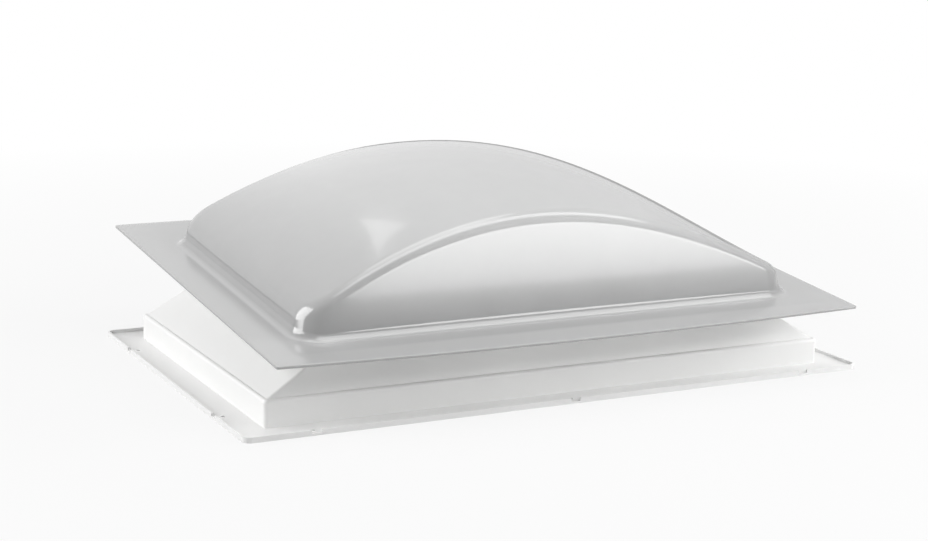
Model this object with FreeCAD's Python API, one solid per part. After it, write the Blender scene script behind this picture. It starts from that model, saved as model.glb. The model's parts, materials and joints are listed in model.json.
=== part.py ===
import FreeCAD, Part
import math
import os

V = FreeCAD.Vector
X_AXIS = V(1, 0, 0)
Y_AXIS = V(0, 1, 0)
Z_AXIS = V(0, 0, 1)

# The rooflight stands on its roof flange. The origin is the middle of the flange's underside,
# X runs along the long side, -Y is the hinge side and +Z points up, away from the roof.
# Every part of the lid is drawn with the lid shut, and then turned about the hinge to the
# slightly open position in which the rooflight is shown.

# Roof flange with its upturned lip, which is broken beside each fixing hole
flange_length = 800.0
flange_width = 496.0
flange_thickness = 2.5
flange_corner_radius = 9.0
lip_height = 6.4
lip_thickness = 2.2
lip_break_length = 12.0
fixing_hole_diameter = 5.0
fixing_hole_inset = 11.5
fixing_spacing_long = 318.0
fixing_spacing_short = 304.0

# Kerb: an upright outer wall with a narrow ledge, a sloping shoulder and a collar round the opening
kerb_inset = 36.0
kerb_wall_height = 33.6
kerb_ledge = 5.0
kerb_edge_radius = 4.0
kerb_corner_radius = 5.0
kerb_hip_radius = 3.0
moulding_wall = 3.0
shoulder_rise = 34.0
shoulder_run_end = 59.8
shoulder_run_side = 11.9
collar_height = 9.9
collar_edge_radius = 5.0
rim_corner_radius = 12.0
collar_foot_height = 5.0
rim_width = 12.0
rim_width_front = 16.0
rim_thickness = 2.5

# Seal on the collar's rim
seal_base_width = 8.0
seal_base_thickness = 1.2
seal_bulb_radius = 2.2
seal_bulb_sink = 0.4
seal_gap = 0.3

# Lid: one thermoformed sheet, a flat flange with a four-sided vaulted dome
sheet_length = 747.5
sheet_width = 566.0
sheet_thickness = 3.0
sheet_corner_radius = 3.0
lid_offset_back = 11.2
dome_length = 642.0
dome_front = 212.0
dome_back = 212.0
dome_crown_height = 148.0
dome_side_height = 113.0
dome_end_height = 26.0
dome_corner_height = 29.0
dome_end_lean = 0.19
dome_side_lean = 0.22
dome_corner_radius = 32.0
dome_ridge_radius = 12.0
dome_cove_radius = 9.0
wall_loft_rise = 160.0

# Frame bonded under the lid's flange
lid_frame_thickness = 5.0
lid_frame_margin = 28.0
lid_opening_half_length = 285.0
lid_opening_front = 176.0
lid_opening_back = 168.0
lid_frame_corner_radius = 10.0

# Lid angles above shut, in degrees
rest_angle = 4.68
open_angle = 49.68

# Two butt hinges under the front flange
hinge_axis_y = -221.0
hinge_axis_z = 78.5
hinge_spacing = 420.0
hinge_length = 60.0
hinge_knuckle_radius = 4.0
hinge_knuckle_gap = 0.3
hinge_middle_knuckle = 20.0
hinge_pin_radius = 2.0
hinge_plate_thickness = 1.8
hinge_plate_back = 10.0
hinge_leaf_front = 17.0
hinge_leaf_gap = 0.5
hinge_screw_spacing = 36.0
pin_head_height = 1.2
pin_head_overhang = 1.2
running_clearance = 0.05

# Two stays: a strap pivoted on the collar, whose stud slides along a slotted rail on the lid.
# The slot's line meets the hinge axis, and the strap is as long as its pivot is far from the
# hinge axis, so the strap always turns through twice the angle of the lid.
stay_length = 150.0
stay_shut_angle = 6.0
slot_line_drop = 1.2
strap_width = 10.0
strap_thickness = 3.0
strap_from_wall = 8.2
stud_radius = 3.0
slot_clearance = 0.25
spacer_radius = 6.0
rail_from_strap = 2.5
rail_thickness = 3.0
rail_below_slot = 6.5
rail_end_margin = 14.0
rail_flange_width = 13.0
rail_flange_thickness = 1.6
rail_screw_inset = 9.0
bracket_thickness = 2.5
bracket_width = 34.0
bracket_height = 24.0
bracket_boss_radius = 7.0
bracket_corner_radius = 5.0
bracket_screw_spacing = 24.0
pivot_head_radius = 5.5
pivot_head_height = 1.8
pivot_end_gap = 0.2
side_play = 0.3
knob_radius = 12.0
knob_length = 12.0
knob_lobes = 5
knob_scallop_radius = 4.5
knob_scallop_outside = 1.6
knob_bore_spare = 0.5
knob_rim_radius = 2.0
knob_collar_radius = 6.5
knob_collar_length = 3.0
stud_in_knob = 8.0

# Two swivel catches at the back of the lid and their keepers on the collar
catch_spacing = 300.0
catch_pivot_inset = 21.0
catch_base_length = 44.0
catch_base_width = 14.0
catch_base_thickness = 6.0
catch_base_corner_radius = 5.6
catch_screw_spacing = 32.0
catch_hub_radius = 6.0
catch_pin_radius = 2.5
catch_pin_head_radius = 4.5
catch_pin_head_height = 1.6
tongue_length = 16.0
tongue_width = 9.0
tongue_thickness = 4.5
tongue_corner_radius = 3.6
handle_length = 52.0
handle_width = 11.0
handle_corner_radius = 4.9
keeper_width = 34.0
keeper_thickness = 2.5
keeper_reach = 13.0
keeper_height = 28.0
keeper_below_rim = 4.0
keeper_screw_spacing = 20.0

# Flyscreen clipped into the foot of the collar
screen_clearance = 0.3
screen_corner_radius = 3.0
screen_bar_width = 17.0
screen_bar_thickness = 5.0
screen_height = 8.0
screen_net_thickness = 0.5
screen_net_columns = 20
screen_net_rows = 15
screen_thread = 1.0
clip_length = 24.0
clip_thickness = 1.5
clip_reach = 7.0
clip_height = 14.0
clip_spacing = 380.0

# Screws that hold the fittings
screw_head_radius = 3.0
screw_head_height = 1.6
screw_shank_radius = 1.5
screw_wall_length = 8.0
screw_grip = 3.6

# Sizes that follow from the ones above
kerb_half_length = flange_length / 2 - kerb_inset
kerb_half_width = flange_width / 2 - kerb_inset
shoulder_top = kerb_wall_height + shoulder_rise
collar_half_length = kerb_half_length - shoulder_run_end
collar_half_width = kerb_half_width - shoulder_run_side
opening_half_length = collar_half_length - moulding_wall
opening_half_width = collar_half_width - moulding_wall
rim_top = shoulder_top + collar_height
seal_top = rim_top + seal_base_thickness + 2 * seal_bulb_radius - seal_bulb_sink
lid_frame_under = seal_top + seal_gap
sheet_under = lid_frame_under + lid_frame_thickness
sheet_top = sheet_under + sheet_thickness
dome_centre = (dome_back - dome_front) / 2
dome_half_width = (dome_back + dome_front) / 2
strap_outer = opening_half_length - strap_from_wall
strap_inner = strap_outer - strap_thickness
rail_outer = strap_inner - rail_from_strap
rail_inner = rail_outer - rail_thickness
catch_pivot_y = opening_half_width - catch_pivot_inset
keeper_lip_under = rim_top - keeper_below_rim - keeper_thickness
tongue_top = keeper_lip_under - seal_gap
tongue_under = tongue_top - tongue_thickness


def rounded_rectangle(half_x, half_y, radius, z, centre_y=0.0):
    """A closed wire, half_x by half_y from its centre, with round corners."""
    ends = [(half_x, -half_y, -90), (half_x, half_y, 0), (-half_x, half_y, 90), (-half_x, -half_y, 180)]
    arcs = []
    for corner_x, corner_y, start in ends:
        centre = V(corner_x - math.copysign(radius, corner_x),
                   centre_y + corner_y - math.copysign(radius, corner_y), z)
        points = []
        for step in (0, 45, 90):
            angle = math.radians(start + step)
            points.append(centre + V(radius * math.cos(angle), radius * math.sin(angle), 0))
        arcs.append(points)
    edges = []
    for index, points in enumerate(arcs):
        edges.append(Part.Arc(*points).toShape())
        edges.append(Part.LineSegment(points[2], arcs[(index + 1) % 4][0]).toShape())
    return Part.Wire(edges)


def slab(half_x, half_y, radius, z_low, z_high, centre_y=0.0):
    """A flat plate with round corners."""
    face = Part.Face(rounded_rectangle(half_x, half_y, radius, z_low, centre_y))
    return face.extrude(V(0, 0, z_high - z_low))


def box(low, high):
    """A box between two corners, given in any order."""
    corner = V(*[min(a, b) for a, b in zip(low, high)])
    size = [abs(b - a) for a, b in zip(low, high)]
    return Part.makeBox(*size, corner)


def rod(radius, start, end):
    """A round bar from one point to another."""
    start = V(*start)
    along = V(*end) - start
    return Part.makeCylinder(radius, along.Length, start, along)


def fuse(*shapes):
    """One solid of several that meet."""
    return shapes[0].fuse(list(shapes[1:])).removeSplitter()


def mirrored(shape):
    """The same piece for the left side."""
    return shape.mirror(V(0, 0, 0), X_AXIS)


def turned_with_lid(shape):
    """A piece of the lid, turned from shut to the rest position."""
    moved = shape.copy()
    moved.rotate(V(0, hinge_axis_y, hinge_axis_z), X_AXIS, rest_angle)
    return moved


def screw(seat, inwards, length):
    """A pan-head screw: its head stands on the seat, its shank runs inwards."""
    seat = V(*seat)
    inwards = V(*inwards)
    head = Part.makeCylinder(screw_head_radius, screw_head_height, seat, inwards * -1)
    shank = Part.makeCylinder(screw_shank_radius, length, seat, inwards)
    head = head.makeFillet(screw_head_height / 2, [edge for edge in head.Edges
                           if edge.Curve.TypeId == "Part::GeomCircle"
                           and (edge.CenterOfMass - seat).Length > screw_head_height / 2])
    return head.fuse(shank).removeSplitter()


def screw_hole(seat, inwards, length):
    """What a screw's shank needs cut out of the pieces that it holds."""
    return Part.makeCylinder(screw_shank_radius, length, V(*seat), V(*inwards))


def fixing_holes():
    """Centres of the flange's fixing holes, each with the side of the flange it is on."""
    hole_x = flange_length / 2 - fixing_hole_inset
    hole_y = flange_width / 2 - fixing_hole_inset
    places = []
    for side in (-1, 1):
        for step in (-1, 0, 1):
            places.append((step * fixing_spacing_long, side * hole_y, "long"))
        for step in (-1, 1):
            places.append((side * hole_x, step * fixing_spacing_short / 2, "short"))
    return places


def stay_points(lid_angle):
    """Pivot of the stay and place of its stud, as (y, z), with the lid at an angle above shut."""
    pivot_line = math.radians(-slot_line_drop - stay_shut_angle)
    pivot = (hinge_axis_y + stay_length * math.cos(pivot_line),
             hinge_axis_z + stay_length * math.sin(pivot_line))
    strap_line = pivot_line + 2 * math.radians(stay_shut_angle + lid_angle)
    stud = (pivot[0] + stay_length * math.cos(strap_line),
            pivot[1] + stay_length * math.sin(strap_line))
    return pivot, stud


def bracket_screw_seats():
    """Places of the two screws of the right-hand stay bracket."""
    (y, z), _ = stay_points(0)
    x = opening_half_length - bracket_thickness
    return [(x, y + side * bracket_screw_spacing / 2, z) for side in (-1, 1)]


def keeper_screw_seats():
    """Places of the two screws of the right-hand keeper."""
    y = opening_half_width - keeper_thickness
    z = keeper_lip_under - keeper_height / 2
    return [(catch_spacing / 2 + side * keeper_screw_spacing / 2, y, z) for side in (-1, 1)]


def hinge_base_screw_seats():
    """Places of the two screws of the right-hand hinge base, on the collar's rim."""
    y = hinge_axis_y + hinge_knuckle_radius + hinge_plate_back / 2
    z = rim_top + hinge_plate_thickness
    return [(hinge_spacing / 2 + side * hinge_screw_spacing / 2, y, z) for side in (-1, 1)]


def clip_places():
    """Middle of each flyscreen clip on the long walls, with the side it is on."""
    return [(x, side) for side in (-1, 1) for x in (-clip_spacing / 2, clip_spacing / 2)]


def frustum(low, high, z_low, z_high):
    """A filled block with four flat leaning sides, between two rectangles of given half sizes."""
    block = Part.makeWedge(-low[0], z_low, -low[1], -high[1], -high[0],
                           low[0], z_high, low[1], high[1], high[0])
    return block.rotated(V(0, 0, 0), X_AXIS, 90)


def kerb_shoulder(inset, top_drop):
    """The filled shoulder, from the ledge on the wall's top up to the collar."""
    lower = (kerb_half_length - kerb_ledge - inset, kerb_half_width - kerb_ledge - inset)
    upper = (collar_half_length - inset, collar_half_width - inset)
    return frustum(lower, upper, kerb_wall_height - top_drop, shoulder_top - top_drop)


def kerb_outside():
    """The filled kerb with its outward edges rounded."""
    wall = slab(kerb_half_length, kerb_half_width, kerb_corner_radius, 0, kerb_wall_height)
    wall = wall.makeFillet(kerb_edge_radius, [edge for edge in wall.Edges
                                              if edge.BoundBox.ZMin > kerb_wall_height - 1])
    shoulder = kerb_shoulder(0, 0)
    hips = [edge for edge in shoulder.Edges if edge.BoundBox.ZMax > edge.BoundBox.ZMin + 1]
    return fuse(wall, shoulder.makeFillet(kerb_hip_radius, hips))


def kerb_inside():
    """The space inside the moulding's wall, filled."""
    wall = slab(kerb_half_length - moulding_wall, kerb_half_width - moulding_wall,
                kerb_corner_radius - moulding_wall, -1, kerb_wall_height - moulding_wall)
    return fuse(wall, kerb_shoulder(moulding_wall, moulding_wall))


def roof_frame():
    """The white moulding: roof flange, kerb wall, shoulder, collar and rim in one piece."""
    half_length = flange_length / 2
    half_width = flange_width / 2
    flange = slab(half_length, half_width, flange_corner_radius, 0, flange_thickness)
    lip = slab(half_length, half_width, flange_corner_radius, 0, lip_height)
    lip = lip.cut(slab(half_length - lip_thickness, half_width - lip_thickness,
                       flange_corner_radius - lip_thickness, 0, lip_height))
    for x, y, side in fixing_holes():
        reach = fixing_hole_inset + 1
        if side == "long":
            gap = box((x - lip_break_length / 2, y, flange_thickness),
                      (x + lip_break_length / 2, y + math.copysign(reach, y), lip_height))
        else:
            gap = box((x, y - lip_break_length / 2, flange_thickness),
                      (x + math.copysign(reach, x), y + lip_break_length / 2, lip_height))
        lip = lip.cut(gap)
    inside = kerb_inside()
    outer = kerb_outside().cut(inside)
    collar = slab(collar_half_length, collar_half_width, collar_edge_radius, collar_foot_height, rim_top)
    rim_half_width = collar_half_width + (rim_width + rim_width_front) / 2
    rim = slab(collar_half_length + rim_width, rim_half_width, rim_corner_radius,
               rim_top - rim_thickness, rim_top, (rim_width - rim_width_front) / 2)
    opening_corner = collar_edge_radius - moulding_wall
    opening = slab(opening_half_length, opening_half_width, opening_corner, -1, rim_top + 1)
    body = flange.cut(inside).fuse([lip, outer, collar, rim]).cut(opening)
    for x, y, _ in fixing_holes():
        body = body.cut(rod(fixing_hole_diameter / 2, (x, y, -1), (x, y, flange_thickness + 1)))
    for seat in bracket_screw_seats():
        hole = screw_hole(seat, (1, 0, 0), screw_wall_length)
        body = body.cut([hole, mirrored(hole)])
    for seat in keeper_screw_seats():
        hole = screw_hole(seat, (0, 1, 0), screw_wall_length)
        body = body.cut([hole, mirrored(hole)])
    for seat in hinge_base_screw_seats():
        hole = screw_hole(seat, (0, 0, -1), screw_wall_length)
        body = body.cut([hole, mirrored(hole)])
    return body.removeSplitter()


def kerb_seal():
    """Rubber seal: a flat base stuck on the rim and a bulb that the lid's frame presses."""
    half_x = opening_half_length + seal_base_width / 2
    half_y = opening_half_width + seal_base_width / 2
    radius = rim_corner_radius - seal_base_width / 2
    base = slab(half_x + seal_base_width / 2, half_y + seal_base_width / 2,
                radius + seal_base_width / 2, rim_top, rim_top + seal_base_thickness)
    base = base.cut(slab(half_x - seal_base_width / 2, half_y - seal_base_width / 2,
                         radius - seal_base_width / 2, rim_top, rim_top + seal_base_thickness))
    bulb_z = rim_top + seal_base_thickness + seal_bulb_radius - seal_bulb_sink
    path = rounded_rectangle(half_x, half_y, radius, bulb_z)
    section = Part.Wire(Part.makeCircle(seal_bulb_radius, V(half_x, 0, bulb_z), Y_AXIS))
    return fuse(base, path.makePipeShell([section], True, False))


def vault(shrink):
    """Space under the crown of the dome: one patch of parabolas both ways, lowered by a shrink."""
    ends = dome_length / 2
    columns = []
    for x, centre_height, edge_height in ((-ends, dome_end_height, dome_corner_height),
                                          (0, dome_crown_height, dome_side_height),
                                          (ends, dome_end_height, dome_corner_height)):
        columns.append((x, [edge_height, 2 * centre_height - edge_height, edge_height]))
    outer = columns[0][1]
    middle = [2 * mid - end for mid, end in zip(columns[1][1], outer)]
    surface = Part.BezierSurface()
    surface.increase(2, 2)
    for column, (x, heights) in enumerate(((-ends, outer), (0, middle), (ends, outer)), start=1):
        for row, (y, height) in enumerate(zip((-dome_front, dome_centre, dome_back), heights), start=1):
            surface.setPole(column, row, V(x, y, sheet_under + height - shrink))
    return surface.toShape().extrude(V(0, 0, -2 * dome_crown_height))


def leaning_walls(shrink, z_low):
    """The dome's four leaning sides as a filled block, drawn in by a shrink."""
    wires = []
    for height in (z_low - sheet_under, wall_loft_rise):
        wires.append(rounded_rectangle(dome_length / 2 - shrink - dome_end_lean * height,
                                       dome_half_width - shrink - dome_side_lean * height,
                                       dome_corner_radius - shrink, sheet_under + height, dome_centre))
    return Part.makeLoft(wires, True, True)


def ridge_edges(dome):
    """The edges where the crown meets the leaning sides."""
    return [edge for edge in dome.Edges if edge.BoundBox.ZMin > sheet_top
            and edge.Curve.TypeId != "Part::GeomLine"]


def foot_edges(lid):
    """The edges where the dome rises from the flat flange."""
    inside_length = (sheet_length + dome_length) / 4
    inside_width = sheet_width / 4 + dome_half_width / 2
    return [edge for edge in lid.Edges if abs(edge.BoundBox.ZMin - sheet_top) < 0.01
            and abs(edge.BoundBox.ZMax - sheet_top) < 0.01
            and abs(edge.CenterOfMass.x) < inside_length
            and abs(edge.CenterOfMass.y - dome_centre) < inside_width]


def lid_dome():
    """The translucent lid: flat flange and vaulted dome, formed from one sheet."""
    flange = slab(sheet_length / 2, sheet_width / 2, sheet_corner_radius, sheet_under, sheet_top,
                  lid_offset_back)
    outer = leaning_walls(0, sheet_under).common(vault(0))
    outer = outer.makeFillet(dome_ridge_radius, ridge_edges(outer))
    body = flange.fuse(outer)
    body = body.makeFillet(dome_cove_radius, foot_edges(body))
    cavity = leaning_walls(sheet_thickness, sheet_under - 1).common(vault(sheet_thickness))
    cavity = cavity.makeFillet(dome_ridge_radius - sheet_thickness, ridge_edges(cavity))
    return turned_with_lid(body.cut(cavity))


def lid_screws():
    """Right-hand screws that run up into the lid's frame: seats and shank length of each fitting."""
    leaf_y = hinge_axis_y - hinge_knuckle_radius - hinge_leaf_front / 2
    leaf_seats = [(hinge_spacing / 2 + side * hinge_screw_spacing / 2, leaf_y,
                   lid_frame_under - hinge_plate_thickness) for side in (-1, 1)]
    catch_seats = [(catch_spacing / 2 + side * catch_screw_spacing / 2, catch_pivot_y,
                    lid_frame_under - catch_base_thickness) for side in (-1, 1)]
    front, back = rail_span()
    rail_seats = [(rail_outer + rail_flange_width / 2, y, lid_frame_under - rail_flange_thickness)
                  for y in (front + rail_screw_inset, (front + back) / 2, back - rail_screw_inset)]
    return {"hinge_leaf": (leaf_seats, hinge_plate_thickness + screw_grip),
            "slide_rail": (rail_seats, rail_flange_thickness + screw_grip),
            "catch_base": (catch_seats, catch_base_thickness + screw_grip)}


def lid_screw_holes(fitting):
    """Right-hand screw holes of one fitting of the lid."""
    seats, length = lid_screws()[fitting]
    return [screw_hole(seat, (0, 0, 1), length) for seat in seats]


def rail_span():
    """The slide rail's front and back ends with the lid shut."""
    _, stud_shut = stay_points(0)
    far = math.hypot(stud_shut[0] - hinge_axis_y, stud_shut[1] - hinge_axis_z)
    near = 2 * stay_length * math.cos(math.radians(stay_shut_angle + open_angle))
    level = math.cos(math.radians(slot_line_drop))
    return (hinge_axis_y + near * level - rail_end_margin, hinge_axis_y + far * level + rail_end_margin)


def lid_frame():
    """White frame bonded under the lid's flange: it presses the seal and carries the fittings."""
    opening_half_width_lid = (lid_opening_front + lid_opening_back) / 2
    opening_centre = (lid_opening_back - lid_opening_front) / 2
    body = slab(sheet_length / 2 - lid_frame_margin, sheet_width / 2 - lid_frame_margin,
                lid_frame_corner_radius, lid_frame_under, sheet_under, lid_offset_back)
    body = body.cut(slab(lid_opening_half_length, opening_half_width_lid, lid_frame_corner_radius,
                         lid_frame_under - 1, sheet_under + 1, opening_centre))
    for fitting in lid_screws():
        for hole in lid_screw_holes(fitting):
            body = body.cut([hole, mirrored(hole)])
    return turned_with_lid(body)


def knuckle_spans():
    """Lengths along X of the hinge base's two knuckles and of the leaf's one."""
    middle = hinge_spacing / 2
    inner = hinge_middle_knuckle / 2
    outer = hinge_length / 2
    base = [(middle - outer, middle - inner - hinge_knuckle_gap),
            (middle + inner + hinge_knuckle_gap, middle + outer)]
    return base, (middle - inner, middle + inner)


def hinge_base():
    """The right-hand hinge's fixed half, screwed on the collar's rim."""
    spans, _ = knuckle_spans()
    back = hinge_axis_y + hinge_knuckle_radius + hinge_plate_back
    body = box((hinge_spacing / 2 - hinge_length / 2, hinge_axis_y + hinge_knuckle_radius, rim_top),
               (hinge_spacing / 2 + hinge_length / 2, back, rim_top + hinge_plate_thickness))
    for low, high in spans:
        knuckle = rod(hinge_knuckle_radius, (low, hinge_axis_y, hinge_axis_z),
                      (high, hinge_axis_y, hinge_axis_z))
        web = box((low, hinge_axis_y, rim_top), (high, hinge_axis_y + hinge_knuckle_radius + 1,
                                                 rim_top + hinge_plate_thickness))
        body = body.fuse([knuckle, web])
    middle = hinge_spacing / 2
    bore = rod(hinge_pin_radius, (middle - hinge_length, hinge_axis_y, hinge_axis_z),
               (middle + hinge_length, hinge_axis_y, hinge_axis_z))
    body = body.cut(bore)
    for seat in hinge_base_screw_seats():
        body = body.cut(screw_hole(seat, (0, 0, -1), screw_wall_length))
    return body.removeSplitter()


def hinge_pin():
    """The right-hand hinge's pin, tight in the base and free in the leaf, with a flat head at each end."""
    middle = hinge_spacing / 2
    half = hinge_length / 2
    head = hinge_pin_radius + pin_head_overhang
    shaft = rod(hinge_pin_radius, (middle - half, hinge_axis_y, hinge_axis_z),
                (middle + half, hinge_axis_y, hinge_axis_z))
    heads = [rod(head, (middle + side * half, hinge_axis_y, hinge_axis_z),
                 (middle + side * (half + pin_head_height), hinge_axis_y, hinge_axis_z)) for side in (-1, 1)]
    return fuse(shaft, *heads)


def hinge_leaf():
    """The right-hand hinge's moving half, screwed under the lid's frame."""
    _, span = knuckle_spans()
    middle = hinge_spacing / 2
    front = hinge_axis_y - hinge_knuckle_radius - hinge_leaf_front
    body = box((middle - hinge_length / 2, front, lid_frame_under - hinge_plate_thickness),
               (middle + hinge_length / 2,
                hinge_axis_y - hinge_knuckle_radius - hinge_leaf_gap,
                lid_frame_under))
    knuckle = rod(hinge_knuckle_radius, (span[0], hinge_axis_y, hinge_axis_z),
                  (span[1], hinge_axis_y, hinge_axis_z))
    web = box((span[0], hinge_axis_y - hinge_knuckle_radius - 1, lid_frame_under - hinge_plate_thickness),
              (span[1], hinge_axis_y, lid_frame_under))
    bore = rod(hinge_pin_radius + running_clearance, (span[0] - 1, hinge_axis_y, hinge_axis_z),
               (span[1] + 1, hinge_axis_y, hinge_axis_z))
    body = body.fuse([knuckle, web]).cut([bore] + lid_screw_holes("hinge_leaf"))
    return turned_with_lid(body.removeSplitter())


def stay_bracket():
    """The right-hand stay's bracket on the inside of the collar."""
    (y, z), _ = stay_points(0)
    face = opening_half_length
    plate = box((face - bracket_thickness, y - bracket_width / 2, z - bracket_height / 2),
                (face, y + bracket_width / 2, z + bracket_height / 2))
    rounded = [edge for edge in plate.Edges if abs(edge.tangentAt(edge.FirstParameter).x) > 0.9]
    plate = plate.makeFillet(bracket_corner_radius, rounded)
    boss = rod(bracket_boss_radius, (face - bracket_thickness, y, z), (strap_outer + side_play, y, z))
    bore = rod(stud_radius, (face, y, z), (strap_outer, y, z))
    body = plate.fuse(boss).cut(bore)
    for seat in bracket_screw_seats():
        body = body.cut(screw_hole(seat, (1, 0, 0), screw_wall_length))
    return body.removeSplitter()


def stay_pivot():
    """The right-hand stay's pivot pin, fixed in the bracket."""
    (y, z), _ = stay_points(0)
    shaft = rod(stud_radius, (opening_half_length - pivot_end_gap, y, z), (strap_inner - side_play, y, z))
    head = rod(pivot_head_radius, (strap_inner - side_play, y, z),
               (strap_inner - side_play - pivot_head_height, y, z))
    return fuse(shaft, head)


def stay_arm():
    """The right-hand strap, at the lid's rest angle, with a hole at each end."""
    pivot, stud = stay_points(rest_angle)
    half = strap_width / 2
    bar = box((strap_inner, 0, -half), (strap_outer, stay_length, half))
    ends = [rod(half, (strap_inner, y, 0), (strap_outer, y, 0)) for y in (0, stay_length)]
    body = fuse(bar, *ends)
    body = body.cut(rod(stud_radius + running_clearance, (strap_inner - 1, 0, 0), (strap_outer + 1, 0, 0)))
    body = body.cut(rod(stud_radius, (strap_inner - 1, stay_length, 0), (strap_outer + 1, stay_length, 0)))
    body.rotate(V(0, 0, 0), X_AXIS, math.degrees(math.atan2(stud[1] - pivot[1], stud[0] - pivot[0])))
    body.translate(V(0, *pivot))
    return body


def stay_stud():
    """The right-hand strap's stud, which runs through the rail's slot into the knob."""
    _, (y, z) = stay_points(rest_angle)
    end = rail_inner - side_play - stud_in_knob
    shaft = rod(stud_radius, (strap_outer, y, z), (end, y, z))
    head = rod(stud_radius + pin_head_overhang, (strap_outer, y, z), (strap_outer + pin_head_height, y, z))
    return fuse(shaft, head)


def stay_spacer():
    """Nylon washer between the right-hand strap and its rail."""
    _, (y, z) = stay_points(rest_angle)
    ring = rod(spacer_radius, (strap_inner, y, z), (rail_outer + side_play, y, z))
    return ring.cut(rod(stud_radius, (strap_inner, y, z), (rail_outer, y, z)))


def stay_knob():
    """The right-hand clamping knob, a lobed plastic knob on the stud."""
    _, (y, z) = stay_points(rest_angle)
    seat = rail_inner - side_play
    body = rod(knob_radius, (seat - knob_collar_length, y, z), (seat - knob_length, y, z))
    rims = [edge for edge in body.Edges if edge.BoundBox.XMax - edge.BoundBox.XMin < 0.01]
    body = body.makeFillet(knob_rim_radius, rims)
    for index in range(knob_lobes):
        angle = 2 * math.pi * (index + 0.5) / knob_lobes
        reach = knob_radius + knob_scallop_outside
        at = (y + reach * math.cos(angle), z + reach * math.sin(angle))
        body = body.cut(rod(knob_scallop_radius, (seat + 1, *at), (seat - knob_length - 1, *at)))
    body = body.fuse(rod(knob_collar_radius, (seat, y, z), (seat - knob_collar_length - 1, y, z)))
    bore_end = seat - stud_in_knob - knob_bore_spare
    bore = rod(stud_radius + running_clearance, (seat + 1, y, z), (bore_end, y, z))
    return body.cut(bore).removeSplitter()


def slide_rail():
    """The right-hand slotted rail: an angle section screwed under the lid's frame."""
    front, back = rail_span()
    tilt = math.tan(math.radians(slot_line_drop))
    low_front = hinge_axis_z - (front - hinge_axis_y) * tilt - rail_below_slot
    low_back = hinge_axis_z - (back - hinge_axis_y) * tilt - rail_below_slot
    outline = Part.makePolygon([V(rail_inner, front, lid_frame_under), V(rail_inner, back, lid_frame_under),
                                V(rail_inner, back, low_back), V(rail_inner, front, low_front),
                                V(rail_inner, front, lid_frame_under)])
    web = Part.Face(outline).extrude(V(rail_thickness, 0, 0))
    flange = box((rail_inner, front, lid_frame_under - rail_flange_thickness),
                 (rail_outer + rail_flange_width, back, lid_frame_under))
    half = stud_radius + slot_clearance
    ends = []
    for y in (front + rail_end_margin, back - rail_end_margin):
        ends.append((y, hinge_axis_z - (y - hinge_axis_y) * tilt))
    run = math.hypot(ends[1][0] - ends[0][0], ends[1][1] - ends[0][1])
    slot = box((rail_inner - 1, 0, -half), (rail_outer + 1, run, half))
    slot = slot.fuse([rod(half, (rail_inner - 1, y, 0), (rail_outer + 1, y, 0)) for y in (0, run)])
    slot.rotate(V(0, 0, 0), X_AXIS, -slot_line_drop)
    slot.translate(V(0, *ends[0]))
    body = web.fuse(flange).cut([slot] + lid_screw_holes("slide_rail"))
    return turned_with_lid(body.removeSplitter())


def catch_base():
    """The right-hand catch's base under the back of the lid's frame."""
    x = catch_spacing / 2
    under = lid_frame_under - catch_base_thickness
    body = box((x - catch_base_length / 2, catch_pivot_y - catch_base_width / 2, under),
               (x + catch_base_length / 2, catch_pivot_y + catch_base_width / 2, lid_frame_under))
    upright = [edge for edge in body.Edges if abs(edge.tangentAt(edge.FirstParameter).z) > 0.9]
    body = body.makeFillet(catch_base_corner_radius, upright)
    body = body.cut(rod(catch_pin_radius,
                        (x, catch_pivot_y, under - 1),
                        (x, catch_pivot_y, lid_frame_under + 1)))
    return turned_with_lid(body.cut(lid_screw_holes("catch_base")))


def catch_pin():
    """The right-hand catch's pivot pin, fixed in its base."""
    x = catch_spacing / 2
    shaft = rod(catch_pin_radius,
                (x, catch_pivot_y, lid_frame_under),
                (x, catch_pivot_y, tongue_under - side_play))
    head = rod(catch_pin_head_radius, (x, catch_pivot_y, tongue_under - side_play),
               (x, catch_pivot_y, tongue_under - side_play - catch_pin_head_height))
    return turned_with_lid(fuse(shaft, head))


def catch_lever():
    """The right-hand swivel lever, released: a tongue outwards along X and a handle inwards."""
    x = catch_spacing / 2
    hub = rod(catch_hub_radius, (x, catch_pivot_y, tongue_under),
              (x, catch_pivot_y, lid_frame_under - catch_base_thickness - side_play))
    tongue = box((x, catch_pivot_y - tongue_width / 2, tongue_under),
                 (x + tongue_length, catch_pivot_y + tongue_width / 2, tongue_top))
    upright = [edge for edge in tongue.Edges if abs(edge.tangentAt(edge.FirstParameter).z) > 0.9
               and edge.CenterOfMass.x > x + tongue_length / 2]
    tongue = tongue.makeFillet(tongue_corner_radius, upright)
    handle = box((x - handle_length, catch_pivot_y - handle_width / 2, tongue_under),
                 (x, catch_pivot_y + handle_width / 2, tongue_top))
    upright = [edge for edge in handle.Edges if abs(edge.tangentAt(edge.FirstParameter).z) > 0.9
               and edge.CenterOfMass.x < x - handle_length / 2]
    handle = handle.makeFillet(handle_corner_radius, upright)
    body = hub.fuse([tongue, handle])
    bore = rod(catch_pin_radius + running_clearance, (x, catch_pivot_y, tongue_under - 1),
               (x, catch_pivot_y, lid_frame_under))
    return turned_with_lid(body.cut(bore).removeSplitter())


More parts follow.
